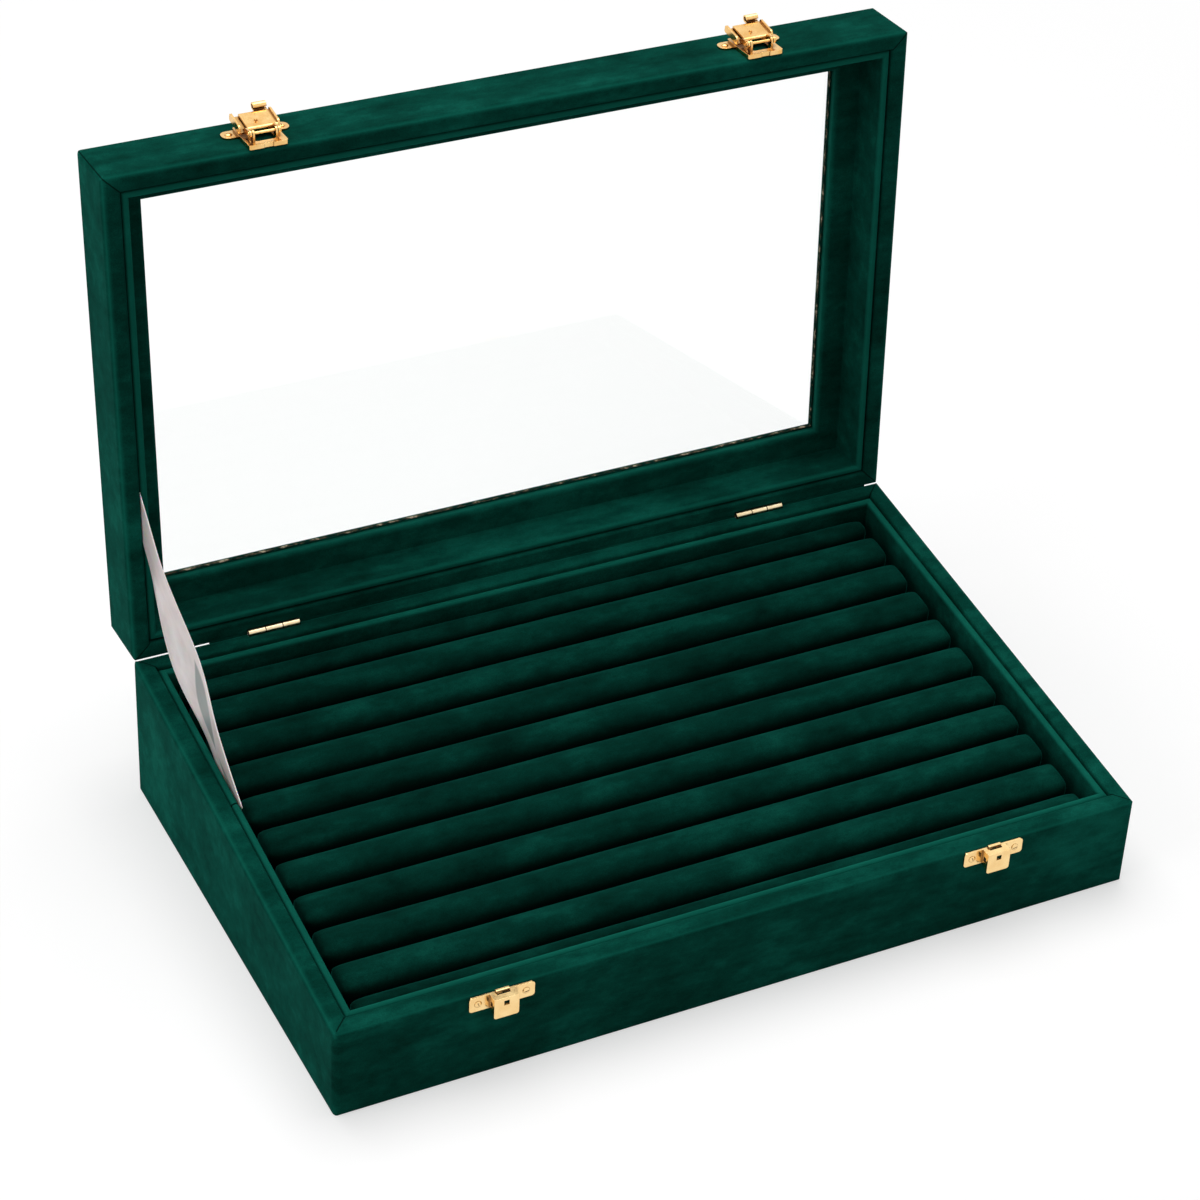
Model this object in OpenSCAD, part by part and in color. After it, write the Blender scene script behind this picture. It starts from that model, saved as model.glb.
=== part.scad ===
// Ring display box: a sloping velvet-covered tray with a hinged, glazed lid.
// Origin: centre of the underside. X runs along the box, +Y to the hinges, +Z up.
// The solids are drawn with the lid standing open and both latch levers thrown back.

/* [Base] */
// Length of the box along X
base_w = 350; // [340:1:380]
// Depth of the box from front to back
base_d = 215; // [205:1:235]
// Height of the front wall at its outer face
front_h = 41; // [39:0.5:46]
// Height of the back wall at its outer face
back_h = 66; // [60:0.5:74]
// Thickness of the velvet-covered walls, seen as the width of the rim
wall_t = 7.5; // [6.5:0.1:9]
// Rounding of the outer edges of walls and rails
edge_r = 2.5; // [2:0.1:3]
// Rounding of the upright corners
corner_r = 3; // [2.5:0.1:4]
// Rounding of the inner edge of the rim
inner_r = 1.2; // [0.6:0.1:1.6]
// Rounding along the foot of the walls
foot_r = 1; // [0.5:0.1:1.5]

/* [Lining] */
// Thickness of the lining boards inside base and lid
liner_t = 3; // [2.4:0.1:3.6]
// Seam between a wall and its lining board
liner_seam = 0.6; // [0.5:0.05:0.9]
// How far the lining stands below the rim
liner_drop = 1; // [0.6:0.1:1.6]
// Place of the joint in the left lining, from the hinge side, where the ribbon is tucked in
ribbon_joint = 91; // [80:1:100]
// Width of that joint
ribbon_joint_w = 0.8; // [0.5:0.1:1.2]

/* [Tray] */
// Number of full ring rolls between the two narrow end rolls
full_rolls = 9; // [8:1:10]
// Space taken by each of the narrow end rolls
end_roll_w = 11.6; // [9:0.1:14]
// Gap between neighbouring rolls
roll_gap = 0.3; // [0.2:0.05:0.6]
// How far the crowns of the rolls stand below the rim
crown_drop = 5.5; // [4.5:0.1:7]
// Height of a roll above the tray board
roll_h = 16; // [14:0.5:18]
// Height of the domed part of a roll
crown_h = 7; // [5:0.5:9]
// Rounding of the roll ends
roll_end_r = 6; // [4:0.5:7]
// Free space beside the roll ends
roll_end_gap = 3; // [2.5:0.1:4]
// Thickness of the tray board
board_t = 3; // [2:0.5:4]
// Width of the two rests below the tray board
rest_w = 12; // [8:1:16]
// Thickness of the bottom board
bottom_t = 3; // [2:0.5:4]
// Thickness of the cover paper under the bottom board
cover_t = 0.8; // [0.5:0.1:1.2]

/* [Lid] */
// Overall thickness of the lid
lid_t = 29; // [28:0.5:33]
// Space between base rim and closed lid
lid_gap = 0.8; // [0.6:0.05:1]
// Angle through which the lid opens
lid_open = 100; // [96:1:102]
// Border of the lid around the glass
lid_border = 22; // [20:0.5:25]
// Thickness of the lip outside the glass
lip_t = 3; // [2:0.1:4]
// Thickness of the glass
glass_t = 2.5; // [2:0.1:3]
// Clearance around the edges of the glass
glass_fit = 0.3; // [0.1:0.05:0.4]
// Thickness of the ledge that holds the glass from inside
ledge_t = 4; // [3:0.1:5]
// Rounding of the ledge beside the glass
ledge_r = 1.8; // [1:0.1:2.4]

/* [Hinges] */
// Distance of the middle of each hinge from the end of the box
hinge_in = 61; // [55:1:80]
// Length of the hinge barrel
barrel_l = 22.4; // [18:0.2:26]
// Outer radius of the knuckles
knuckle_r = 1.4; // [1.2:0.05:1.6]
// Radius of the hinge pin
pin_r = 0.6; // [0.5:0.05:0.65]
// Running clearance around pins
pin_fit = 0.05; // [0.03:0.01:0.08]
// Gap between neighbouring knuckles
knuckle_gap = 0.2; // [0.1:0.05:0.4]
// Thickness of the hinge leaves
leaf_t = 0.6; // [0.5:0.05:0.65]
// Distance of the leaves inside the outline of the knuckles
leaf_in = 0.1; // [0.05:0.05:0.15]
// Depth of the leaves in their slots
leaf_h = 8; // [6:0.5:10]
// Distance of the hinge axis inside the back face
axis_in = 1.45; // [1.42:0.01:1.46]
// Clearance around the hinge parts in walls and rails
hinge_fit = 0.4; // [0.3:0.05:0.5]

/* [Latches] */
// Distance of the middle of each latch from the end of the box
latch_in = 67.5; // [63:0.5:90]
// Thickness of the brass sheet
sheet_t = 0.8; // [0.6:0.05:0.9]
// Width of the latch plate on the lid
plate_w = 16; // [15.8:0.1:18]
// Length of the latch plate across the rail
plate_l = 18.8; // [18:0.1:21]
// Height of the latch plate above the rail
plate_h = 1.8; // [1.6:0.1:2.4]
// Width over the screw ears of the latch plate
ear_span = 27.5; // [26.5:0.1:29]
// Height of the screw ears
ear_h = 6.6; // [5.5:0.1:7]
// Place of the ears on the rail, from the mating face
ear_v = 15.4; // [14.5:0.1:16]
// Distance of the latch screws from the middle of the plate
latch_screw_x = 10.8; // [10.4:0.1:11.2]
// Width of the window in the latch plate
window_w = 8.6; // [8:0.1:10]
// Length of the window in the latch plate
window_l = 9.6; // [8:0.1:11]
// Distance of the window from the mating edge of the plate
window_v = 3.2; // [2.6:0.1:3.8]
// Place of the lever pivot, from the mating face
pivot_v = 5; // [4.6:0.1:5.4]
// Height of the lever pivot above the rail
pivot_o = 4.5; // [4.4:0.05:4.8]
// Radius of the lever pivot pin
lever_pin_r = 0.6; // [0.45:0.05:0.65]
// Radius of the pivot eyes
eye_r = 1.35; // [1.2:0.05:1.4]
// Width of the lever
lever_w = 16.8; // [16.6:0.1:17.2]
// Length of the lever from its pivot
lever_l = 15.4; // [15:0.1:15.6]
// Distance from the pivot at which the plate of the lever begins
lever_plate_r = 4.4; // [4.2:0.1:5]
// Inner face of the lever plate, from the pivot axis
lever_inset = 1.9; // [1.85:0.05:2]
// Height of the lever cheeks above the pivot axis
cheek_h = 0.4; // [0.2:0.1:0.8]
// Tilt of the lever above the rail when thrown back
lever_tilt = 10; // [8:1:14]
// Space between the lever plate and the catch sheet fixed on it
sheet_space = 0.5; // [0.4:0.05:0.6]
// Bare strip of the lever beside the catch sheet
bare_strip = 3.6; // [3:0.1:4.2]
// Height of the catch nub
nub_h = 0.9; // [0.7:0.05:1]
// Radius of the rolled hook at the lever's end
tab_r = 1.5; // [1.3:0.05:1.55]
// Length of the rolled hook
tab_l = 5.4; // [4:0.1:6]
// Clearance between the hook and the foot of the keeper housing
hook_fit = 0.35; // [0.3:0.05:0.5]
// Side play between lever and plate lugs
lever_play = 0.3; // [0.25:0.05:0.4]

/* [Keepers] */
// Width over the ears of a keeper
keeper_w = 27; // [26:0.1:28]
// Height of the keeper ears
keeper_h = 6.8; // [6:0.1:7.4]
// Distance of the keeper below the rim corner
keeper_drop = 1; // [0.8:0.1:1.4]
// Width of the keeper housing
housing_w = 10.3; // [9.5:0.1:10.6]
// Height of the housing front
housing_h = 9.4; // [8.5:0.1:9.8]
// How far the housing stands out
housing_o = 5; // [4.4:0.1:5.2]
// Distance of the keeper screws from the middle
keeper_screw_x = 9.9; // [9.6:0.1:10.4]
// Side of the square catch hole in the housing front
catch_w = 2.2; // [1.9:0.1:2.4]
// Distance of the catch hole below the top of the housing
catch_drop = 1.5; // [1.3:0.1:2]
// Width of the slot in the housing top and of the tab behind it
slot_w = 5.6; // [4.6:0.1:6.4]

/* [Screws] */
// Radius of the screw shanks
screw_r = 0.9; // [0.7:0.05:1]
// Length of the screw shanks below the sheet
screw_l = 6; // [4:0.5:6]
// Radius of the screw heads
head_r = 1.5; // [1.3:0.05:1.6]
// Height of the screw heads
head_h = 0.7; // [0.5:0.05:0.7]
// Clearance of screws in their holes
screw_fit = 0.05; // [0.02:0.01:0.1]

/* [Ribbon] */
// Width of the ribbon stay
ribbon_w = 16; // [12:0.5:18]
// Thickness of the ribbon
ribbon_t = 0.35; // [0.25:0.05:0.4]
// Place of the ribbon on the lid, from the hinge axis
ribbon_lid = 71; // [66:1:76]
// Depth of the ribbon's upper end inside the lid seam
ribbon_tuck = 7; // [6.5:0.5:8]
// Depth of the ribbon's lower end below the rim
ribbon_low = 8; // [7:0.5:10]
// Space between the ribbon's lower end and the lining
ribbon_fit = 0.2; // [0.1:0.05:0.4]
// Share of the ribbon's length, from below, that is free of the lid seam
ribbon_free = 0.82; // [0.7:0.02:0.84]
// Share of the ribbon's length, from below, that lies flat along the lining
ribbon_lie = 0.2; // [0.18:0.01:0.24]
// Angle through which the ribbon turns about its length and back
ribbon_twist = 25; // [0:5:40]
// Sag of the ribbon's lower part
ribbon_sag = 3.5; // [0:0.5:6]

/* [Hidden] */
SIDES = ["front", "back", "left", "right"];

slope = atan((back_h - front_h) / base_d);
slope_l = base_d / cos(slope);
tray_depth = crown_drop + roll_h;
lining_in = wall_t + liner_seam;
inner_in = lining_in + liner_t;
rolls_s = inner_in + end_roll_w;
roll_pitch = (slope_l - 2 * rolls_s) / full_rolls;
hinge_x = base_w / 2 - hinge_in;
latch_x = base_w / 2 - latch_in;
hinge_s = slope_l - axis_in;
hinge_n = lid_gap / 2;
glass_v = lid_t - lip_t - glass_t;
ledge_v = glass_v - ledge_t;
knuckle_l = (barrel_l - 2 * knuckle_gap) / 3;
lug_x = (window_w + sheet_t) / 2;
arm_x = lug_x + sheet_t + lever_play;
reach_r = (pivot_v + lid_gap) * cos(slope) - pivot_o * sin(slope) + keeper_drop;
catch_r = reach_r + catch_drop + catch_w / 2;
hook_r = reach_r + housing_h + hook_fit + tab_r;
sheet_low = -lever_inset + sheet_space;
tall = back_h + lid_t;
arc_steps = 8;
smooth = 48;
eps = 0.01;
green = [0.01, 0.2, 0.16];
dark_green = [0.0, 0.13, 0.1];
brass = [0.93, 0.72, 0.38];
board = [0.55, 0.42, 0.28];

// ---- outlines -------------------------------------------------------------

function unit(v) = v / norm(v);
function xy(p) = [p[0], p[1]];

// Points of the arc of radius r that rounds corner b between its neighbours a and c
function corner_arc(a, b, c, r) =
    let (
        u = unit(a - b),
        w = unit(c - b),
        half = acos(u * w) / 2,
        middle = b + unit(u + w) * r / sin(half),
        from = b + u * r / tan(half) - middle,
        to = b + w * r / tan(half) - middle,
        sweep = 180 - 2 * half
    )
    [for (i = [0 : arc_steps])
        let (t = i / arc_steps)
        middle + (from * sin((1 - t) * sweep) + to * sin(t * sweep)) / sin(sweep)];

// Closed outline through corners [x, y, rounding]
function outline(corners) =
    let (n = len(corners))
    [for (i = [0 : n - 1])
        let (
            a = xy(corners[(i + n - 1) % n]),
            b = xy(corners[i]),
            c = xy(corners[(i + 1) % n]),
            r = corners[i][2]
        )
        each (r > 0 ? corner_arc(a, b, c, r) : [b])];

function box_outline(x0, y0, x1, y1, r) =
    outline([[x0, y0, r], [x1, y0, r], [x1, y1, r], [x0, y1, r]]);

// Height of the sloping rim plane over a place y
function rim_z(y) = front_h + (y + base_d / 2) * tan(slope);

// Height of a plane that lies a distance below the rim plane
function below_rim_z(y, drop) = rim_z(y) - drop / cos(slope);

// ---- placing --------------------------------------------------------------

// Draws in the plane of the rim: Y runs up the slope from the front edge, Z stands square on it
module on_slope() {
    translate([0, -base_d / 2, front_h]) rotate([slope, 0, 0]) children();
}

// Draws in the closed lid's frame, then throws the lid open about the hinge axis
module on_lid() {
    on_slope()
        translate([0, hinge_s, hinge_n])
            rotate([-lid_open, 0, 0])
                translate([0, -hinge_s, lid_gap - hinge_n])
                    children();
}

// Draws on the lid's front rail: Y away from the mating face, Z out of the rail
module on_latch(x) {
    on_lid() translate([x, 0, 0]) rotate([90, 0, 0]) children();
}

// Draws on the base's front wall: Y up from the rim corner, Z out of the wall
module on_keeper(x) {
    translate([x, -base_d / 2, front_h]) rotate([90, 0, 0]) children();
}

// Extrudes an outline in Y and Z along X, about the middle
module along_x(length) {
    rotate([90, 0, 90]) linear_extrude(length, center = true) children();
}

// Extrudes an outline in X and Z along Y, from the origin
module along_y(length) {
    translate([0, length, 0]) rotate([90, 0, 0]) linear_extrude(length) children();
}

// The share of a w by d rectangle that belongs to one side, cut at 45 degrees at its corners
module mitre(side, w, d) {
    reach = d / 2;
    if (side == "front")
        polygon([[-w / 2, 0], [w / 2, 0], [w / 2 - reach, reach], [-w / 2 + reach, reach]]);
    if (side == "back") translate([0, d]) mirror([0, 1]) mitre("front", w, d);
    if (side == "left") polygon([[-w / 2, 0], [-w / 2 + reach, reach], [-w / 2, d]]);
    if (side == "right") mirror([1, 0]) mitre("left", w, d);
}

// Upright prism of one side of the base
module base_mitre(side) {
    translate([0, -base_d / 2, 0]) linear_extrude(tall) mitre(side, base_w, base_d);
}

// A bar of a mitred frame; its outline gives the distance in from the outer face and the height
module frame_bar(side) {
    intersection() {
        union() {
            if (side == "front") along_x(base_w) children();
            if (side == "back") translate([0, slope_l, 0]) mirror([0, 1, 0]) along_x(base_w) children();
            if (side == "left") translate([-base_w / 2, 0, 0]) along_y(slope_l) children();
            if (side == "right") translate([base_w / 2, 0, 0]) mirror([1, 0, 0]) along_y(slope_l) children();
        }
        translate([0, 0, -tall]) linear_extrude(2 * tall) mitre(side, base_w, slope_l);
    }
}

// ---- base -----------------------------------------------------------------

module base_corners() {
    linear_extrude(tall)
        polygon(box_outline(-base_w / 2, -base_d / 2, base_w / 2, base_d / 2, corner_r));
}

// Front or back wall: its outline stands upright and follows the sloping rim
module cross_wall(y_out, y_in) {
    along_x(base_w)
        polygon(outline([
            [y_out, 0, foot_r], [y_out, rim_z(y_out), edge_r],
            [y_in, rim_z(y_in), inner_r], [y_in, 0, 0]]));
}

// Left wall; its rim edges are rounded along the slope and its foot along the floor
module side_wall() {
    intersection() {
        on_slope()
            translate([-base_w / 2, -tall, 0])
                along_y(slope_l + 2 * tall)
                    polygon(outline([
                        [0, 0, edge_r], [wall_t, 0, inner_r], [wall_t, -tall, 0], [0, -tall, 0]]));
        translate([-base_w / 2, -base_d / 2, 0])
            along_y(base_d)
                polygon(outline([[0, 0, foot_r], [wall_t, 0, 0], [wall_t, tall, 0], [0, tall, 0]]));
    }
}

module base_wall(side) {
    color(green)
        difference() {
            intersection() {
                union() {
                    if (side == "front") cross_wall(-base_d / 2, -base_d / 2 + wall_t);
                    if (side == "back") cross_wall(base_d / 2, base_d / 2 - wall_t);
                    if (side == "left") side_wall();
                    if (side == "right") mirror([1, 0, 0]) side_wall();
                }
                base_mitre(side);
                base_corners();
            }
            if (side == "back")
                for (x = [-hinge_x, hinge_x]) on_slope() translate([x, hinge_s, hinge_n]) hinge_slot(-1);
            if (side == "front")
                for (x = [-latch_x, latch_x], dx = [-keeper_screw_x, keeper_screw_x])
                    on_keeper(x + dx) translate([0, keeper_mid_v(), 0]) pilot_hole();
        }
}

// Front or back lining board, from y_out inwards
module cross_liner(y_out, y_in) {
    top_r = liner_t / 2 - 0.1;
    along_x(base_w)
        polygon(outline([
            [y_out, below_rim_z(y_out, tray_depth), 0], [y_out, below_rim_z(y_out, liner_drop), top_r],
            [y_in, below_rim_z(y_in, liner_drop), top_r], [y_in, below_rim_z(y_in, tray_depth), 0]]));
}

module side_liner() {
    top_r = liner_t / 2 - 0.1;
    on_slope()
        translate([-base_w / 2, 0, 0])
            along_y(slope_l)
                polygon(outline([
                    [lining_in, -liner_drop, top_r], [inner_in, -liner_drop, top_r],
                    [inner_in, -tray_depth, 0], [lining_in, -tray_depth, 0]]));
}

module base_liner(side) {
    color(dark_green)
        intersection() {
            union() {
                if (side == "front") cross_liner(-base_d / 2 + lining_in, -base_d / 2 + inner_in);
                if (side == "back") cross_liner(base_d / 2 - lining_in, base_d / 2 - inner_in);
                if (side == "left") side_liner();
                if (side == "right") mirror([1, 0, 0]) side_liner();
            }
            base_mitre(side);
        }
}

// The left lining is in two lengths, with the ribbon's joint between them
module base_liner_left(from_s, to_s) {
    intersection() {
        base_liner("left");
        on_slope() translate([-base_w / 2, from_s, -tall]) cube([base_w, to_s - from_s, 2 * tall]);
    }
}

module base_liner_left_rear() {
    base_liner_left(slope_l - ribbon_joint + ribbon_joint_w / 2, slope_l);
}

module base_liner_left_front() {
    base_liner_left(0, slope_l - ribbon_joint - ribbon_joint_w / 2);
}

// Upright prism of the space inside the walls
module inside_walls(clearance = 0) {
    w = base_w - 2 * (wall_t + clearance);
    d = base_d - 2 * (wall_t + clearance);
    translate([-w / 2, -d / 2, 0]) cube([w, d, tall]);
}

module flat_board(z, t) {
    intersection() {
        inside_walls();
        translate([-base_w / 2, -base_d / 2, z]) cube([base_w, base_d, t]);
    }
}

module bottom_board() {
    color(board) flat_board(cover_t, bottom_t);
}

module bottom_cover() {
    color([0.03, 0.05, 0.05]) flat_board(0, cover_t);
}

module tray_board() {
    color(board)
        intersection() {
            inside_walls();
            on_slope()
                translate([-base_w / 2, 0, -tray_depth - board_t])
                    cube([base_w, slope_l, board_t]);
        }
}

// Wedge-topped strip between the bottom board and the tray board
module tray_rest(y_out, y_in) {
    length = base_w - 2 * wall_t;
    floor_z = cover_t + bottom_t;
    color(board)
        along_x(length)
            polygon([
                [y_out, floor_z], [y_in, floor_z],
                [y_in, below_rim_z(y_in, tray_depth + board_t)],
                [y_out, below_rim_z(y_out, tray_depth + board_t)]]);
}

module tray_rest_front() {
    y_out = -base_d / 2 + wall_t;
    tray_rest(y_out, y_out + rest_w);
}

module tray_rest_back() {
    y_out = base_d / 2 - wall_t;
    tray_rest(y_out, y_out - rest_w);
}

// ---- ring rolls -----------------------------------------------------------

// Domed section of a roll of width w, standing on the tray board
function roll_section(w) =
    concat(
        [[-w / 2, 0]],
        [for (a = [180 : -180 / 18 : 0]) [w / 2 * cos(a), roll_h - crown_h + crown_h * sin(a)]],
        [[w / 2, 0]]);

module ring_roll(i) {
    is_first = i == 0;
    is_last = i == full_rolls + 1;
    first_w = end_roll_w - roll_gap;
    w = is_first || is_last ? first_w : roll_pitch - roll_gap;
    s = is_first ? inner_in + roll_gap / 2 + first_w / 2
        : is_last ? slope_l - inner_in - roll_gap / 2 - first_w / 2
        : rolls_s + roll_pitch * (i - 0.5);
    length = base_w - 2 * (inner_in + roll_end_gap);
    color(dark_green)
        intersection() {
            on_slope()
                translate([0, s, -tray_depth])
                    intersection() {
                        along_x(length) polygon(roll_section(w));
                        translate([0, -roll_pitch, 0])
                            along_y(2 * roll_pitch)
                                polygon(outline([
                                    [-length / 2, 0, 0], [length / 2, 0, 0],
                                    [length / 2, roll_h, roll_end_r], [-length / 2, roll_h, roll_end_r]]));
                    }
            inside_walls(liner_seam + liner_t + roll_gap);
        }
}

// ---- lid ------------------------------------------------------------------

module lid_corners() {
    linear_extrude(lid_t)
        polygon(box_outline(-base_w / 2, 0, base_w / 2, slope_l, corner_r));
}

module lid_rail(side) {
    color(green)
        on_lid()
            difference() {
                intersection() {
                    frame_bar(side)
                        polygon(outline([
                            [0, 0, edge_r], [0, lid_t, edge_r],
                            [lid_border, lid_t, inner_r], [lid_border, lid_t - lip_t, 0],
                            [wall_t, lid_t - lip_t, 0], [wall_t, 0, inner_r]]));
                    lid_corners();
                }
                if (side == "back")
                    for (x = [-hinge_x, hinge_x])
                        translate([x, hinge_s, -lid_gap + hinge_n]) hinge_slot(1);
                if (side == "front")
                    for (x = [-latch_x, latch_x], dx = [-latch_screw_x, latch_screw_x])
                        translate([x + dx, 0, ear_v]) rotate([90, 0, 0]) pilot_hole();
            }
}

module lid_liner(side) {
    top_r = liner_t / 2 - 0.1;
    color(dark_green)
        on_lid()
            frame_bar(side)
                polygon(outline([
                    [lining_in, liner_drop, top_r], [inner_in, liner_drop, top_r],
                    [inner_in, ledge_v, 0], [lining_in, ledge_v, 0]]));
}

module lid_ledge(side) {
    color(dark_green)
        on_lid()
            frame_bar(side)
                polygon(outline([
                    [wall_t, ledge_v, 0], [lid_border, ledge_v, ledge_r],
                    [lid_border, glass_v, 0], [wall_t, glass_v, 0]]));
}

module glass_pane() {
    edge = wall_t + glass_fit;
    color([0.9, 0.97, 0.95, 0.25])
        on_lid()
            translate([-base_w / 2 + edge, edge, glass_v])
                cube([base_w - 2 * edge, slope_l - 2 * edge, glass_t]);
}

// ---- hinges ---------------------------------------------------------------

// Room for the barrel and for one leaf; up is 1 for the lid's side and -1 for the base's side
module hinge_slot(up) {
    length = barrel_l + 2 * hinge_fit;
    rotate([0, 90, 0]) cylinder(r = knuckle_r + hinge_fit, h = length, center = true, $fn = smooth);
    translate([-length / 2, leaf_in - knuckle_r, up > 0 ? 0 : -leaf_h - hinge_fit])
        cube([length, leaf_t, leaf_h + hinge_fit]);
}

module knuckle(x, length) {
    translate([x, 0, 0])
        rotate([0, 90, 0])
            difference() {
                cylinder(r = knuckle_r, h = length, center = true, $fn = smooth);
                cylinder(r = pin_r + pin_fit, h = length + 1, center = true, $fn = smooth);
            }
}

// A leaf plate whose knuckles sit at the given places; it is cut back beside the other knuckles
module hinge_leaf(up, places) {
    relief = knuckle_r + hinge_fit;
    face = leaf_in - knuckle_r;
    for (x = places) knuckle(x, knuckle_l);
    translate([-barrel_l / 2, face, up > 0 ? relief : -leaf_h]) cube([barrel_l, leaf_t, leaf_h - relief]);
    for (x = places)
        translate([x - knuckle_l / 2, face, up > 0 ? 0 : -leaf_h]) cube([knuckle_l, leaf_t, leaf_h]);
}

module hinge_base_leaf(x) {
    step = knuckle_l + knuckle_gap;
    color(brass) on_slope() translate([x, hinge_s, hinge_n]) hinge_leaf(-1, [-step, step]);
}

module hinge_lid_leaf(x) {
    color(brass) on_lid() translate([x, hinge_s, -lid_gap + hinge_n]) hinge_leaf(1, [0]);
}

module hinge_pins() {
    color(brass)
        for (x = [-hinge_x, hinge_x])
            on_slope()
                translate([x, hinge_s, hinge_n])
                    rotate([0, 90, 0]) cylinder(r = pin_r, h = barrel_l, center = true, $fn = smooth);
}

// ---- latches --------------------------------------------------------------

module pilot_hole() {
    translate([0, 0, -screw_l - 0.2])
        cylinder(r = screw_r + screw_fit, h = screw_l + 1, $fn = smooth);
}

// Slotted round-head screw; Z points out of the head, 0 is the wood's surface
module screw(turn) {
    difference() {
        union() {
            translate([0, 0, -screw_l]) cylinder(r = screw_r, h = screw_l + sheet_t + 0.1, $fn = smooth);
            translate([0, 0, sheet_t])
                rotate_extrude($fn = smooth)
                    polygon(concat([[0, 0]], [for (a = [0 : 15 : 90]) [head_r * cos(a), head_h * sin(a)]]));
        }
        rotate([0, 0, turn])
            translate([-head_r, -0.2, sheet_t + head_h - 0.3]) cube([2 * head_r, 0.4, 1]);
    }
}

// Lug that carries the lever pin at one side of the latch plate
module plate_lug(x) {
    translate([x, 0, 0])
        along_x(sheet_t)
            difference() {
                union() {
                    translate([pivot_v, pivot_o]) circle(r = eye_r, $fn = smooth);
                    translate([pivot_v - eye_r, plate_h - sheet_t])
                        square([2 * eye_r, pivot_o - plate_h + sheet_t]);
                }
                translate([pivot_v, pivot_o]) circle(r = lever_pin_r + pin_fit, $fn = smooth);
            }
}

module latch_plate(x) {
    front_v = 0.2;
    half = plate_w / 2;
    notch_w = slot_w - 1.6;
    back_v = front_v + plate_l;
    color(brass)
        on_latch(x) {
            difference() {
                union() {
                    difference() {
                        linear_extrude(plate_h) polygon(box_outline(-half, front_v, half, back_v, 1));
                        translate([0, 0, -eps])
                            linear_extrude(plate_h - sheet_t + eps)
                                polygon(box_outline(
                                    -half + sheet_t, front_v + sheet_t,
                                    half - sheet_t, back_v - sheet_t, 0.4));
                    }
                    for (side = [-1, 1])
                        linear_extrude(sheet_t)
                            polygon(outline([
                                [side * (half - sheet_t), ear_v - ear_h / 2, 0],
                                [side * ear_span / 2, ear_v - ear_h / 2, ear_h * 0.42],
                                [side * ear_span / 2, ear_v + ear_h / 2, ear_h * 0.42],
                                [side * (half - sheet_t), ear_v + ear_h / 2, 0]]));
                }
                translate([0, 0, sheet_t])
                    linear_extrude(plate_h)
                        polygon(box_outline(
                            -window_w / 2, front_v + window_v,
                            window_w / 2, front_v + window_v + window_l, 1.2));
                translate([-notch_w / 2, front_v - 1, -eps]) cube([notch_w, 1 + sheet_t / 2, plate_h + 1]);
                for (dx = [-latch_screw_x, latch_screw_x])
                    translate([dx, ear_v, -1])
                        cylinder(r = screw_r + screw_fit, h = 3, $fn = smooth);
            }
            for (side = [-1, 1]) plate_lug(side * lug_x);
        }
}

// Arm of the lever in the plane across the pin: Y along the lever, Z out of the rail
module lever_arm(x) {
    low = lever_inset + sheet_t;
    foot_r = lever_plate_r + 3 * sheet_t;
    translate([x, 0, 0])
        along_x(sheet_t)
            difference() {
                union() {
                    circle(r = eye_r, $fn = smooth);
                    polygon(outline([
                        [0, -eye_r * 0.9, 0], [lever_plate_r, -low, 1], [foot_r, -low, 0],
                        [foot_r, -lever_inset, 0], [lever_plate_r, 0, 1.6], [0, eye_r * 0.9, 0]]));
                }
                circle(r = lever_pin_r + pin_fit, $fn = smooth);
            }
}

// Side cheek folded up from the lever plate
module lever_cheek(x) {
    low = lever_inset + sheet_t;
    translate([x, 0, 0])
        along_x(sheet_t)
            polygon(outline([
                [lever_plate_r, -low, 0.3], [lever_l, -low, 0.6], [lever_l, cheek_h, 1],
                [lever_plate_r + sheet_t, cheek_h, 1.6]]));
}

// Catch sheet folded up from the lever plate, in the plane across the pin
module catch_section() {
    top = sheet_low + sheet_t;
    difference() {
        polygon(outline([
            [lever_plate_r, -lever_inset - sheet_t / 2, 0], [lever_plate_r, top, 0.9],
            [lever_l, top, 0.5], [lever_l, -lever_inset - sheet_t / 2, 0]]));
        polygon(outline([
            [lever_plate_r + sheet_t, -lever_inset, 0.1], [lever_plate_r + sheet_t, sheet_low, 0.2],
            [lever_l - sheet_t, sheet_low, 0.2], [lever_l - sheet_t, -lever_inset, 0.1]]));
    }
}

// Rolled hook at the end of the catch sheet
module hook_section() {
    roll_z = sheet_low + tab_r;
    translate([lever_l - sheet_t, sheet_low]) square([hook_r - lever_l + sheet_t, sheet_t * 0.75]);
    translate([hook_r, roll_z])
        difference() {
            circle(r = tab_r, $fn = smooth);
            circle(r = tab_r - sheet_t * 0.75, $fn = smooth);
            polygon([
                [0, 0], [-tab_r * 1.4, tab_r * 0.1],
                [-tab_r * 1.4, -tab_r * 0.55], [-tab_r * 0.4, -tab_r * 0.45]]);
        }
}

// The lever lying flat back from its pivot; the plate is on the rail's side of the pin
module lever_flat() {
    half = lever_w / 2;
    from_x = -half + bare_strip;
    to_x = half - sheet_t;
    low = lever_inset + sheet_t;
    lever_cheek(-half + sheet_t / 2);
    lever_cheek(half - sheet_t / 2);
    for (side = [-1, 1]) lever_arm(side * arm_x);
    translate([0, 0, -low])
        linear_extrude(sheet_t)
            polygon(outline([
                [-half, lever_plate_r, 0.3], [half, lever_plate_r, 0.3], [half, lever_l, 1.2],
                [-half, lever_l, 1.2]]));
    translate([(from_x + to_x) / 2, 0, 0]) along_x(to_x - from_x) catch_section();
    translate([to_x - 0.4 - tab_l / 2, 0, 0]) along_x(tab_l) hook_section();
    translate([0, catch_r, sheet_low + sheet_t / 2])
        cylinder(r1 = 0.9, r2 = 0.5, h = nub_h + sheet_t / 2, $fn = smooth);
}

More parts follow.
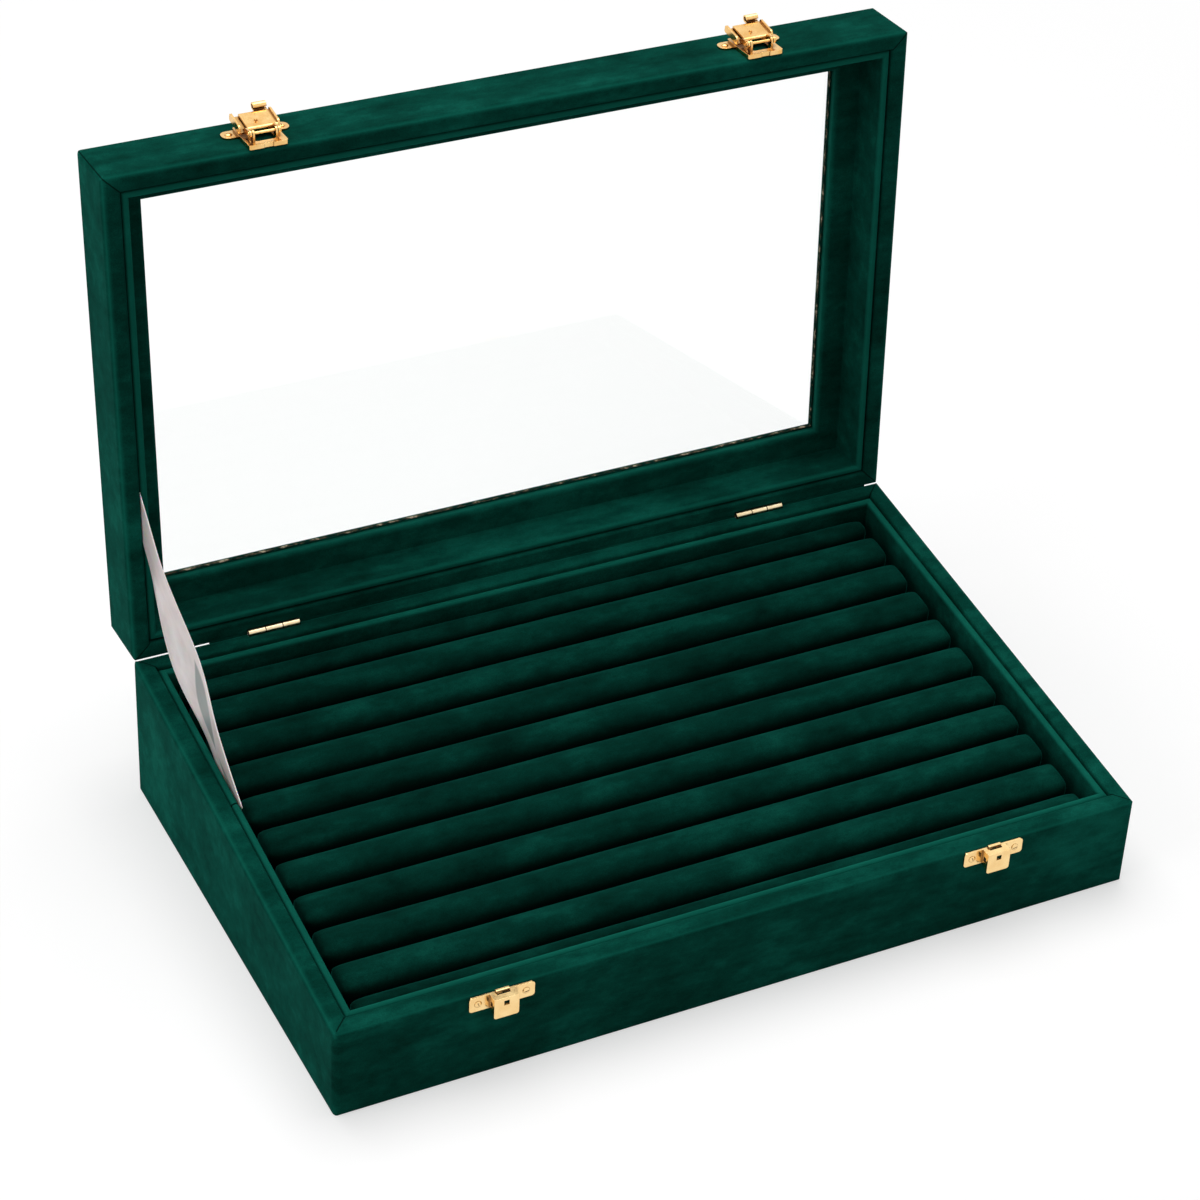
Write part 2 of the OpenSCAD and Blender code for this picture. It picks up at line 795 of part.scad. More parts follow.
module latch_lever(x) {
    color(brass) on_latch(x) translate([0, pivot_v, pivot_o]) rotate([lever_tilt, 0, 0]) lever_flat();
}

module latch_pins() {
    pin_l = 2 * arm_x + sheet_t + 2 * pin_fit;
    pin_head_t = 0.4;
    color(brass)
        for (x = [-latch_x, latch_x])
            on_latch(x)
                translate([0, pivot_v, pivot_o])
                    rotate([0, 90, 0]) {
                        cylinder(r = lever_pin_r, h = pin_l, center = true, $fn = smooth);
                        for (side = [-1, 1])
                            translate([0, 0, side * (pin_l + pin_head_t) / 2])
                                cylinder(r = eye_r * 0.75, h = pin_head_t, center = true, $fn = smooth);
                    }
}

module latch_screws() {
    color(brass)
        for (x = [-latch_x, latch_x], dx = [-latch_screw_x, latch_screw_x])
            on_latch(x + dx) translate([0, ear_v, 0]) screw(35 + dx * 4);
}

// ---- keepers --------------------------------------------------------------

function keeper_mid_v() = -keeper_drop - keeper_h / 2;

// Side web of the housing, from the ears to the front plate
module housing_web() {
    along_x(sheet_t)
        polygon([
            [-keeper_drop, 0], [-keeper_drop, housing_o], [-keeper_drop - housing_h + 1, housing_o],
            [-keeper_drop - keeper_h, sheet_t], [-keeper_drop - keeper_h, 0]]);
}

module keeper(x) {
    half = housing_w / 2;
    top_v = -keeper_drop;
    color(brass)
        on_keeper(x)
            difference() {
                union() {
                    for (side = [-1, 1])
                        linear_extrude(sheet_t)
                            polygon(outline([
                                [side * (half - sheet_t), top_v - keeper_h, 0],
                                [side * keeper_w / 2, top_v - keeper_h, 1.3],
                                [side * keeper_w / 2, top_v, 1.3],
                                [side * (half - sheet_t), top_v, 0]]));
                    for (side = [-1, 1]) translate([side * (half - sheet_t / 2), 0, 0]) housing_web();
                    translate([-half, top_v - sheet_t, 0]) cube([housing_w, sheet_t, housing_o]);
                    translate([0, 0, housing_o - sheet_t])
                        linear_extrude(sheet_t)
                            polygon(outline([
                                [-half, top_v - housing_h, 1.1], [half, top_v - housing_h, 1.1],
                                [half, top_v, 0.3], [-half, top_v, 0.3]]));
                    along_x(slot_w)
                        polygon(outline([
                            [top_v - sheet_t, 0, 0], [top_v + 0.9, 0, 0.3], [top_v + 0.9, 1.3, 0.3],
                            [top_v + 0.3, 1.3, 0], [top_v + 0.3, 0.7, 0], [top_v - sheet_t, 0.7, 0]]));
                }
                translate([-slot_w / 2, top_v - sheet_t - 0.5, 1.1]) cube([slot_w, sheet_t + 0.8, 1.3]);
                translate([-catch_w / 2, top_v - catch_drop - catch_w, housing_o - sheet_t - 0.5])
                    cube([catch_w, catch_w, sheet_t + 1]);
                translate([-half - 1, top_v - 5, 1.8]) cube([housing_w + 2, 2.4, housing_o - sheet_t - 2.4]);
                for (dx = [-keeper_screw_x, keeper_screw_x])
                    translate([dx, keeper_mid_v(), -1])
                        cylinder(r = screw_r + screw_fit, h = 3, $fn = smooth);
            }
}

module keeper_screws() {
    color(brass)
        for (x = [-latch_x, latch_x], dx = [-keeper_screw_x, keeper_screw_x])
            on_keeper(x + dx) translate([0, keeper_mid_v(), 0]) screw(60 - dx * 5);
}

// ---- ribbon ---------------------------------------------------------------

ribbon_steps = 24;

// A place given in the slope's frame, and a place in the closed lid's frame once it is open
function from_slope(p) = [
    p[0],
    -base_d / 2 + p[1] * cos(slope) - p[2] * sin(slope),
    front_h + p[1] * sin(slope) + p[2] * cos(slope)];
function from_lid(p) =
    let (
        y = p[1] - hinge_s,
        z = p[2] + lid_gap - hinge_n,
        turned = [y * cos(lid_open) + z * sin(lid_open), z * cos(lid_open) - y * sin(lid_open)]
    )
    from_slope([p[0], hinge_s + turned[0], hinge_n + turned[1]]);

ribbon_top = from_lid([
    -base_w / 2 + wall_t + liner_seam / 2, hinge_s - ribbon_lid, ribbon_tuck]);
ribbon_foot = from_slope([
    -base_w / 2 + inner_in + ribbon_fit + ribbon_t / 2, slope_l - ribbon_joint, -ribbon_low]);

// Corners of the ribbon's section a share t of the way up; in its free length it sags, crosses
// over to the seam, and turns about its length and back
function ribbon_ring(t) =
    let (
        free = max(0, min(1, (t - ribbon_lie) / (ribbon_free - ribbon_lie))),
        ease = free * free * (3 - 2 * free),
        span = ribbon_top - ribbon_foot,
        taut = unit([0, span[1], span[2]]),
        down = cross(taut, [1, 0, 0]),
        run = unit(taut + down * ribbon_sag * 6.75 * (1 - t) * (1 - 3 * t) / norm(span)),
        flat = cross([1, 0, 0], run),
        turn = ribbon_twist * pow(sin(180 * free), 2),
        across = flat * cos(turn) + [sin(turn), 0, 0],
        out = cross(across, run),
        middle = ribbon_foot + [span[0] * ease, span[1] * t, span[2] * t]
            + down * ribbon_sag * 6.75 * t * pow(1 - t, 2)
    )
    [for (c = [[-1, -1], [1, -1], [1, 1], [-1, 1]])
        middle + across * c[0] * ribbon_w / 2 + out * c[1] * ribbon_t / 2];

module ribbon_stay() {
    rings = [for (i = [0 : ribbon_steps]) each ribbon_ring(i / ribbon_steps)];
    color([0.82, 0.78, 0.78])
        polyhedron(
            points = rings,
            faces = concat(
                [[3, 2, 1, 0]],
                [for (i = [0 : ribbon_steps - 1], k = [0 : 3])
                    let (a = 4 * i + k, b = 4 * i + (k + 1) % 4)
                    each k < 2
                        ? [[a, b, a + 4], [b, b + 4, a + 4]]
                        : [[a, b, b + 4], [a, b + 4, a + 4]]],
                [[for (k = [0 : 3]) 4 * ribbon_steps + k]]));
}

// ---- drawing --------------------------------------------------------------

for (side = SIDES) {
    base_wall(side);
    lid_rail(side);
    lid_liner(side);
    lid_ledge(side);
}
for (side = ["front", "back", "right"])
    base_liner(side);
base_liner_left_rear();
base_liner_left_front();
bottom_board();
bottom_cover();
tray_board();
tray_rest_front();
tray_rest_back();
for (i = [0 : full_rolls + 1])
    ring_roll(i);
glass_pane();
hinge_base_leaf(-hinge_x);  // hinge_base_leaf_left
hinge_base_leaf(hinge_x);  // hinge_base_leaf_right
hinge_lid_leaf(-hinge_x);  // hinge_lid_leaf_left
hinge_lid_leaf(hinge_x);  // hinge_lid_leaf_right
hinge_pins();
latch_plate(-latch_x);  // latch_plate_left
latch_plate(latch_x);  // latch_plate_right
latch_pins();
latch_screws();
latch_lever(-latch_x);  // latch_lever_left
latch_lever(latch_x);  // latch_lever_right
keeper(-latch_x);  // keeper_left
keeper(latch_x);  // keeper_right
keeper_screws();
ribbon_stay();
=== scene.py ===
import math

import bmesh
import bpy
from mathutils import Matrix, Vector, noise


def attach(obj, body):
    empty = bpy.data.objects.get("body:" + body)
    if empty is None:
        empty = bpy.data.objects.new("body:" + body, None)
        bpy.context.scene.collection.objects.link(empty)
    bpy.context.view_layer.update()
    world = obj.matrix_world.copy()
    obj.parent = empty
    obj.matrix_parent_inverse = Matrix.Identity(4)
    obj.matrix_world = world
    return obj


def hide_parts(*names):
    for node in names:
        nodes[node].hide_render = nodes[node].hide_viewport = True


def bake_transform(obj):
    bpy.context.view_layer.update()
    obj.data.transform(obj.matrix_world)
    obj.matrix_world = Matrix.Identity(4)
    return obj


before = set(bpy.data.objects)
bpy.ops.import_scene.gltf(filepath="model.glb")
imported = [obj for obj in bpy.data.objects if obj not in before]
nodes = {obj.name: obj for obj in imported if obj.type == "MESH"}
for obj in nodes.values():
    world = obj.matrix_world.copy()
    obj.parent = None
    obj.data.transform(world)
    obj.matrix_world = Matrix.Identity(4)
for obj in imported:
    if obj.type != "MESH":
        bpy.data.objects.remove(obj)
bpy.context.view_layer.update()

# ---- sizes in metres, as in the part's source -----------------------------------------------

MM = 0.001

# base and lid; INNER_IN is the wall, the seam and the lining board together
BOX_W, BOX_D = 350 * MM, 215 * MM
FRONT_H, BACK_H = 41 * MM, 66 * MM
SLOPE = math.atan((BACK_H - FRONT_H) / BOX_D)
SLOPE_L = BOX_D / math.cos(SLOPE)
WALL = 7.5 * MM
INNER_IN = (7.5 + 0.6 + 3) * MM
LID_GAP, LID_T, LID_BORDER = 0.8 * MM, 29 * MM, 22 * MM
LID_OPEN = math.radians(100)

# hinges: axis up the slope and above the rim, middle from the middle of the box
HINGE_S, HINGE_N, HINGE_X = SLOPE_L - 1.45 * MM, LID_GAP / 2, 114 * MM

# ring rolls
TRAY_DEPTH, ROLL_H, CROWN_H = 21.5 * MM, 16 * MM, 7 * MM
END_ROLL_W, ROLL_GAP, ROLL_END_GAP = 11.6 * MM, 0.3 * MM, 3 * MM
FULL_ROLLS = 9
ROLL_PITCH = (SLOPE_L - 2 * (INNER_IN + END_ROLL_W)) / FULL_ROLLS

# ribbon stay; LIE and FREE are shares of its length
RIBBON_W, RIBBON_LID, RIBBON_TUCK = 16 * MM, 71 * MM, 7 * MM
RIBBON_LOW, RIBBON_JOINT, RIBBON_SAG = 8 * MM, 91 * MM, 3.5 * MM
RIBBON_LIE, RIBBON_FREE, RIBBON_TWIST = 0.2, 0.82, math.radians(25)

# frames: Z square to the rim of the base, and the same on the mating face of the open lid
ON_SLOPE = Matrix.Translation((0, -BOX_D / 2, FRONT_H)) @ Matrix.Rotation(SLOPE, 4, "X")
ON_LID = (
    ON_SLOPE
    @ Matrix.Translation((0, HINGE_S, HINGE_N))
    @ Matrix.Rotation(-LID_OPEN, 4, "X")
    @ Matrix.Translation((0, -HINGE_S, LID_GAP - HINGE_N))
)


# ---- helpers --------------------------------------------------------------------------------


def new_piece(name, bm, material):
    """Turns a bmesh into a smoothly shaded object of the scene."""
    mesh = bpy.data.meshes.new(name)
    for face in bm.faces:
        face.smooth = True
    bm.to_mesh(mesh)
    bm.free()
    piece = bpy.data.objects.new(name, mesh)
    bpy.context.scene.collection.objects.link(piece)
    mesh.materials.append(material)
    return piece


def dress(node, material):
    """Gives a CAD node its finish."""
    mesh = nodes[node].data
    if not mesh.materials:
        mesh.materials.append(material)
    for i in range(len(mesh.materials)):
        mesh.materials[i] = material


def scaled(colour, by):
    return tuple(c * by for c in colour)


class Shader:
    """A material's node tree with a few short ways to add nodes."""

    def __init__(self, name):
        self.material = bpy.data.materials.new(name)
        self.material.use_nodes = True
        self.tree = self.material.node_tree
        self.surface = self.tree.nodes["Principled BSDF"]
        self.place = self.tree.nodes.new("ShaderNodeTexCoord").outputs["Object"]

    def link(self, a, b):
        self.tree.links.new(a, b)

    def mapped(self, matrix=None, scale=(1, 1, 1)):
        """The piece's own coordinates, moved so that the given frame becomes the origin."""
        node = self.tree.nodes.new("ShaderNodeMapping")
        self.link(self.place, node.inputs["Vector"])
        if matrix is not None:
            back = matrix.inverted()
            node.inputs["Location"].default_value = back.to_translation()
            node.inputs["Rotation"].default_value = back.to_euler()
        node.inputs["Scale"].default_value = scale
        return node.outputs["Vector"]

    def noise(self, place, scale, detail, roughness):
        node = self.tree.nodes.new("ShaderNodeTexNoise")
        self.link(place, node.inputs["Vector"])
        node.inputs["Scale"].default_value = scale
        node.inputs["Detail"].default_value = detail
        node.inputs["Roughness"].default_value = roughness
        return node.outputs["Fac"]

    def math(self, operation, *values, clamp=False):
        node = self.tree.nodes.new("ShaderNodeMath")
        node.operation = operation
        node.use_clamp = clamp
        for socket, value in zip(node.inputs, values):
            if isinstance(value, (int, float)):
                socket.default_value = value
            else:
                self.link(value, socket)
        return node.outputs[0]

    def distance(self, a, b):
        return self.math("ABSOLUTE", self.math("SUBTRACT", a, b))

    def ramp(self, factor, stops):
        node = self.tree.nodes.new("ShaderNodeValToRGB")
        self.link(factor, node.inputs["Fac"])
        bar = node.color_ramp
        while len(bar.elements) < len(stops):
            bar.elements.new(0.5)
        for element, (at, colour) in zip(bar.elements, stops):
            element.position = at
            element.color = (*colour, 1)
        return node.outputs["Color"]

    def mix(self, factor, a, b, blend="MIX"):
        node = self.tree.nodes.new("ShaderNodeMix")
        node.data_type = "RGBA"
        node.blend_type = blend
        for socket, value in ((0, factor), (6, a), (7, b)):
            if isinstance(value, (int, float)):
                node.inputs[socket].default_value = value
            elif isinstance(value, tuple):
                node.inputs[socket].default_value = (*value, 1)
            else:
                self.link(value, node.inputs[socket])
        return node.outputs[2]

    def bump(self, height, distance, strength, under=None):
        node = self.tree.nodes.new("ShaderNodeBump")
        node.inputs["Strength"].default_value = strength
        node.inputs["Distance"].default_value = distance
        self.link(height, node.inputs["Height"])
        if under is not None:
            self.link(under, node.inputs["Normal"])
        return node.outputs["Normal"]

    def split(self, vector):
        node = self.tree.nodes.new("ShaderNodeSeparateXYZ")
        self.link(vector, node.inputs[0])
        return node.outputs

    def set(self, **values):
        for key, value in values.items():
            socket = self.surface.inputs[key.replace("_", " ")]
            if isinstance(value, (int, float)):
                socket.default_value = value
            elif isinstance(value, tuple):
                socket.default_value = (*value, 1)
            else:
                self.link(value, socket)


# ---- velvet ---------------------------------------------------------------------------------

# deep, middle and lit colour of the pile
SHADES = (0.0005, 0.021, 0.0142), (0.0014, 0.046, 0.0322), (0.004, 0.094, 0.0665)
# the rolls get a darker copy of the pile: painted shade of the deep tray and of the rings that
# stand in it in use
ROLL_SHADES = tuple(scaled(shade, 0.74) for shade in SHADES)
# how much lighter the painted highlights are, how dark the painted shade in clefts is, and how
# dark a mitre line is
HIGHLIGHT_GAIN, CLEFT_SHADE, SEAM_PILE = 1.5, 0.22, 0.1
PILE_SHEEN, NAP_SHEEN, ROLL_SHEEN = 0.16, 0.1, 0.2
SHEEN_TINT = (0.02, 0.62, 0.48)

# where the painted highlight on the rounded outer edges peaks and how far it reaches, how wide a
# mitre line is, and how far it runs down a face
EDGE_HIGHLIGHT_PEAK, EDGE_HIGHLIGHT_REACH = 0.73 * MM, 2.5 * MM
MITRE_HALF_W, MITRE_REACH = 0.6 * MM, 2.6 * MM

# the cut board beside the glass: depth of the velvet on it, and its edge below the lip
BARE_DEPTH, BARE_BELOW = 0.12 * MM, 1.6 * MM
BOARD_FLECKS = (
    (0.44, (0.002, 0.012, 0.009)),
    (0.55, (0.08, 0.06, 0.036)),
    (0.62, (0.44, 0.37, 0.265)),
)


def shade_in_cleft(s, colour, deep, cleft):
    """Painted shade: darkens the pile from the high edge of a cleft down to the low one."""
    matrix, low, high = cleft
    n = s.split(s.mapped(matrix))[2]
    free = s.math("DIVIDE", s.math("SUBTRACT", n, low), high - low, clamp=True)
    free = s.math("SMOOTH_MIN", free, 1.0, 0.3)
    return s.mix(free, scaled(deep, CLEFT_SHADE), colour)


def highlight_on_crest(s, colour, lit, crest):
    """Painted highlight: lightens the pile about the height of a rounded edge."""
    matrix, top, spread = crest
    n = s.split(s.mapped(matrix))[2]
    away = s.math("DIVIDE", s.distance(n, top), spread, clamp=True)
    share = s.math("MULTIPLY", s.math("SUBTRACT", 1.0, away), 0.6)
    return s.mix(share, colour, scaled(lit, HIGHLIGHT_GAIN))


def mitred_seam(s, colour, height, deep, lit, seam, raw_edge):
    """Painted highlight along the rounded outer edges, and the dark lines of the mitred corners.
    """
    matrix, half_w, half_d, start = seam
    x, y, z = s.split(s.mapped(matrix))
    from_x = s.math("SUBTRACT", half_w, s.math("ABSOLUTE", x))
    from_y = s.math("SUBTRACT", half_d, s.distance(y, half_d))
    nearest = s.math("MINIMUM", from_x, from_y)
    from_face = s.math("ABSOLUTE", z)
    if raw_edge:
        from_face = s.math("MINIMUM", from_face, s.distance(z, LID_T))
    beside_face = s.math("LESS_THAN", from_face, MITRE_REACH)
    # painted highlight on the rounded outer edges
    edge_highlight = s.math("DIVIDE", s.math("MINIMUM", nearest, from_face), EDGE_HIGHLIGHT_PEAK, clamp=True)
    edge_highlight = s.math("MULTIPLY", edge_highlight, s.math("LESS_THAN", nearest, EDGE_HIGHLIGHT_REACH))
    edge_highlight = s.math("MULTIPLY", edge_highlight, beside_face)
    colour = s.mix(s.math("MULTIPLY", edge_highlight, 0.45), colour, scaled(lit, HIGHLIGHT_GAIN))
    off = s.distance(from_x, from_y)
    line = s.math("SUBTRACT", 1.0, s.math("DIVIDE", off, MITRE_HALF_W), clamp=True)
    line = s.math("MULTIPLY", line, s.math("GREATER_THAN", nearest, start))
    if not raw_edge:
        line = s.math("MULTIPLY", line, beside_face)
    colour = s.mix(line, colour, scaled(deep, SEAM_PILE))
    height = s.math("SUBTRACT", height, s.math("MULTIPLY", line, 2.0))
    if raw_edge:
        board = s.ramp(s.noise(s.place, 210, 4, 0.65), BOARD_FLECKS)
        bare = s.math("GREATER_THAN", nearest, LID_BORDER - BARE_DEPTH)
        bare = s.math("MULTIPLY", bare, s.math("LESS_THAN", z, LID_T - BARE_BELOW))
        colour = s.mix(bare, colour, board)
    return colour, height


def velvet(name, shades, sheen, seam=None, raw_edge=False, cleft=None, crest=None):
    """Short-pile velvet with a cloudy nap.

    seam is (frame, half width, half depth, start) of a mitred frame: its rounded outer edges get a
    painted highlight, and its mitre lines begin at start from the edge. raw_edge says that it is
    the lid, with a mitre line down each corner and the cut edge of the board bare beside the
    glass.
    cleft is (frame, low, high): painted shade darkens the pile towards the low height.
    crest is (frame, height, spread): a painted highlight lightens the pile about that height.
    """
    s = Shader(name)
    deep, mid, lit = shades
    warp = s.noise(s.place, 9, 2, 0.5)
    cloud = s.noise(s.mapped(scale=(1, 1.4, 1.4)), 30, 5, 0.62)
    streak = s.noise(s.mapped(scale=(0.45, 2.0, 2.0)), 70, 3, 0.55)
    brushed = s.noise(s.mapped(scale=(0.8, 1.5, 1.5)), 130, 6, 0.72)
    fibre = s.noise(s.place, 2400, 2, 0.7)
    shade = s.math("MULTIPLY", cloud, 0.38)
    for part, share in ((streak, 0.2), (warp, 0.2), (brushed, 0.22)):
        shade = s.math("MULTIPLY_ADD", part, share, shade)
    colour = s.ramp(shade, ((0.39, deep), (0.5, mid), (0.62, lit)))
    speck = s.ramp(fibre, ((0.3, (0.7, 0.7, 0.7)), (0.7, (1.28, 1.28, 1.28))))
    colour = s.mix(1.0, colour, speck, "MULTIPLY")
    height = s.math("ADD", s.math("MULTIPLY", fibre, 0.5), s.math("MULTIPLY", cloud, 0.5))
    # painted shade in a cleft
    if cleft is not None:
        colour = shade_in_cleft(s, colour, deep, cleft)
    # painted highlight on a crest
    if crest is not None:
        colour = highlight_on_crest(s, colour, lit, crest)
    if seam is not None:
        colour, height = mitred_seam(s, colour, height, deep, lit, seam, raw_edge)
    s.set(
        Base_Color=colour,
        Roughness=0.96,
        Specular_IOR_Level=0.02,
        Sheen_Weight=sheen,
        Sheen_Roughness=0.36,
        Sheen_Tint=SHEEN_TINT,
        Normal=s.bump(height, 0.25 * MM, 0.4),
    )
    return s.material


# ---- gilt, satin, glass, board and paper ----------------------------------------------------

# how far the painted shade in crevices reaches and how strongly it darkens; next, its colour and
# the dark colour of the hinge joints
CREVICE_REACH, CREVICE_GAIN, CREVICE_POWER = 2.6 * MM, 1.12, 1.9
CREVICE_SHADE_COLOUR, JOINT_COLOUR = (0.13, 0.042, 0.008), (0.07, 0.03, 0.008)
SHEET_EDGE_R = 0.18 * MM
HINGE_JOINT, HINGE_JOINT_W = 3.75 * MM, 0.42 * MM


def gilt(name, roughness, dull, bright, jointed=False):
    """Polished, lightly lacquered gold plating with rounded sheet edges and painted shade in its
    crevices.

    jointed parts the barrel of each hinge at both sides of its middle knuckle.
    """
    s = Shader(name)
    wear = s.noise(s.place, 160, 4, 0.6)
    grain = s.noise(s.mapped(scale=(6, 1, 1)), 900, 2, 0.5)
    colour = s.ramp(wear, ((0.3, dull), (0.65, bright)))
    # painted shade: ambient occlusion darkens the gold in its crevices
    crevice = s.tree.nodes.new("ShaderNodeAmbientOcclusion")
    crevice.inputs["Distance"].default_value = CREVICE_REACH
    out_of_shade = s.math("MULTIPLY", crevice.outputs["AO"], CREVICE_GAIN, clamp=True)
    out_of_shade = s.math("POWER", out_of_shade, CREVICE_POWER)
    colour = s.mix(out_of_shade, CREVICE_SHADE_COLOUR, colour)
    if jointed:
        x = s.split(s.place)[0]
        along = s.distance(s.math("ABSOLUTE", x), HINGE_X)
        off = s.distance(along, HINGE_JOINT)
        parted = s.math("SUBTRACT", 1.0, s.math("DIVIDE", off, HINGE_JOINT_W, clamp=True))
        colour = s.mix(s.math("MULTIPLY", parted, 0.95), colour, JOINT_COLOUR)
    rounded = s.tree.nodes.new("ShaderNodeBevel")
    rounded.inputs["Radius"].default_value = SHEET_EDGE_R
    s.set(
        Base_Color=colour,
        Metallic=1.0,
        Roughness=s.math("ADD", roughness, s.math("MULTIPLY", wear, 0.12)),
        Normal=s.bump(grain, 0.03 * MM, 0.35, under=rounded.outputs["Normal"]),
    )
    return s.material


RIB_PITCH, SELVEDGE_W = 0.5 * MM, 0.5 * MM
# where the painted shade on the ribbon passes from its lower patch to its upper one, how far the
# upper one runs, as shares of its length, and how soft the patches' edges are
FOLD_SHADE_START, FOLD_SHADE_LENGTH, FOLD_SHADE_SOFT = 0.2, 0.29, 0.9 * MM
SATIN_DARK, SATIN_LIGHT = (0.64, 0.57, 0.56), (0.82, 0.75, 0.74)
# the selvedge's own colour, and the painted shade's colour, tinted with a painted reflection of
# the green lining
SELVEDGE_COLOUR, FOLD_SHADE_COLOUR = (0.86, 0.81, 0.8), (0.17, 0.235, 0.225)


def satin(name, length):
    """Woven satin ribbon on its own strip coordinates: U runs up it and V across.

    Its ribs run across the strip. Two patches of painted shade, tinted with a painted reflection
    of the green lining, stand for folds that the strip's shape lacks: one from its foot to the
    first share of its length, and a second over the next share above that.
    """
    s = Shader(name)
    s.place = s.tree.nodes.new("ShaderNodeUVMap").outputs["UV"]
    u, v = s.split(s.place)[:2]

    def inside(half, centre):
        return s.math("SUBTRACT", half, s.distance(v, centre))

    rib = s.math("SINE", s.math("MULTIPLY", u, 2 * math.pi / RIB_PITCH))
    cloud = s.noise(s.mapped(scale=(1, 3, 1)), 45, 3, 0.6)
    edge = s.math("GREATER_THAN", s.math("ABSOLUTE", v), RIBBON_W / 2 - SELVEDGE_W)
    colour = s.ramp(cloud, ((0.3, SATIN_DARK), (0.7, SATIN_LIGHT)))
    colour = s.mix(edge, colour, SELVEDGE_COLOUR)
    # two leaf-shaped patches of painted shade, tinted with a painted reflection of the green
    # lining
    start = FOLD_SHADE_START * length
    along = s.math("DIVIDE", s.math("SUBTRACT", u, start), FOLD_SHADE_LENGTH * length, clamp=True)
    upper = inside(
        s.math("MULTIPLY", s.math("SINE", s.math("MULTIPLY", along, math.pi)), 0.26 * RIBBON_W),
        s.math("MULTIPLY_ADD", along, 0.42 * RIBBON_W, -0.12 * RIBBON_W),
    )
    low = s.math("SUBTRACT", 1.0, s.math("DIVIDE", u, start, clamp=True))
    lower = inside(
        s.math("MULTIPLY", low, 0.33 * RIBBON_W),
        s.math("MULTIPLY_ADD", low, 0.2 * RIBBON_W, -0.08 * RIBBON_W),
    )
    fold_shade = s.math("DIVIDE", s.math("MAXIMUM", upper, lower), FOLD_SHADE_SOFT, clamp=True)
    colour = s.mix(s.math("MULTIPLY", fold_shade, 0.8), colour, FOLD_SHADE_COLOUR)
    s.set(
        Base_Color=colour,
        Metallic=0.15,
        Roughness=0.3,
        Sheen_Weight=0.2,
        Sheen_Roughness=0.3,
        Sheen_Tint=(0.9, 0.86, 0.86),
        Subsurface_Weight=0.55,
        Subsurface_Scale=1.2 * MM,
        Normal=s.bump(s.math("ADD", rib, s.math("MULTIPLY", edge, 2.0)), 0.04 * MM, 0.4),
    )
    return s.material


def clear_glass(name):
    s = Shader(name)
    smear = s.noise(s.place, 14, 2, 0.5)
    s.set(
        Base_Color=(0.985, 0.995, 0.99),
        Roughness=s.math("MULTIPLY", smear, 0.02),
        IOR=1.45,
        Specular_IOR_Level=0.18,
        Transmission_Weight=1.0,
    )
    return s.material


def fibreboard(name):
    s = Shader(name)
    fleck = s.noise(s.place, 900, 5, 0.7)
    cloud = s.noise(s.place, 30, 3, 0.5)
    colour = s.ramp(fleck, ((0.3, (0.24, 0.15, 0.08)), (0.7, (0.42, 0.29, 0.17))))
    colour = s.mix(s.math("MULTIPLY", cloud, 0.5), colour, (0.3, 0.2, 0.12))
    s.set(Base_Color=colour, Roughness=0.85, Normal=s.bump(fleck, 0.1 * MM, 0.5))
    return s.material


def cover_paper(name):
    s = Shader(name)
    grain = s.noise(s.place, 1400, 4, 0.65)
    cloud = s.noise(s.place, 20, 2, 0.5)
    colour = s.ramp(cloud, ((0.3, (0.008, 0.02, 0.018)), (0.7, (0.014, 0.03, 0.026))))
    s.set(Base_Color=colour, Roughness=0.7, Normal=s.bump(grain, 0.08 * MM, 0.6))
    return s.material


# ---- finishes of the CAD nodes --------------------------------------------------------------

# the base and the lid get a painted highlight along their rounded outer edges
base_velvet = velvet(
    "velvet_base", SHADES, PILE_SHEEN, seam=(ON_SLOPE, BOX_W / 2, SLOPE_L / 2, 1.6 * MM)
)
lid_velvet = velvet(
    "velvet_lid", SHADES, PILE_SHEEN, seam=(ON_LID, BOX_W / 2, SLOPE_L / 2, 0), raw_edge=True
)
# the lining gets painted shade towards the bottom of the tray and a painted highlight along its
# top edge
lining_velvet = velvet(
    "velvet_lining",
    SHADES,
    PILE_SHEEN,
    cleft=(ON_SLOPE, -17 * MM, -3 * MM),
    crest=(ON_SLOPE, -1.3 * MM, 1.8 * MM),
)
# painted highlight along the top edge of the lid's lining
lid_lining_velvet = velvet(
    "velvet_lid_lining", SHADES, PILE_SHEEN, crest=(ON_LID, 1.2 * MM, 1.4 * MM)
)
nap_velvet = velvet("velvet_nap", SHADES, NAP_SHEEN)
# painted highlight along the edge of the ledge
ledge_velvet = velvet("velvet_ledge", SHADES, PILE_SHEEN, crest=(ON_LID, 21.8 * MM, 2.5 * MM))
# painted shade in the clefts between the rolls
roll_velvet = velvet(
    "velvet_rolls", ROLL_SHADES, ROLL_SHEEN, cleft=(ON_SLOPE, -12 * MM, -5.8 * MM)
)
board = fibreboard("fibreboard")
gold = gilt("gilt_brass", 0.13, (0.88, 0.58, 0.245), (0.97, 0.70, 0.335))
latch_gold = gilt("gilt_latches", 0.13, (0.82, 0.46, 0.14), (0.93, 0.62, 0.26))
hinge_gold = gilt("gilt_hinges", 0.24, (0.66, 0.49, 0.25), (0.93, 0.77, 0.5), jointed=True)

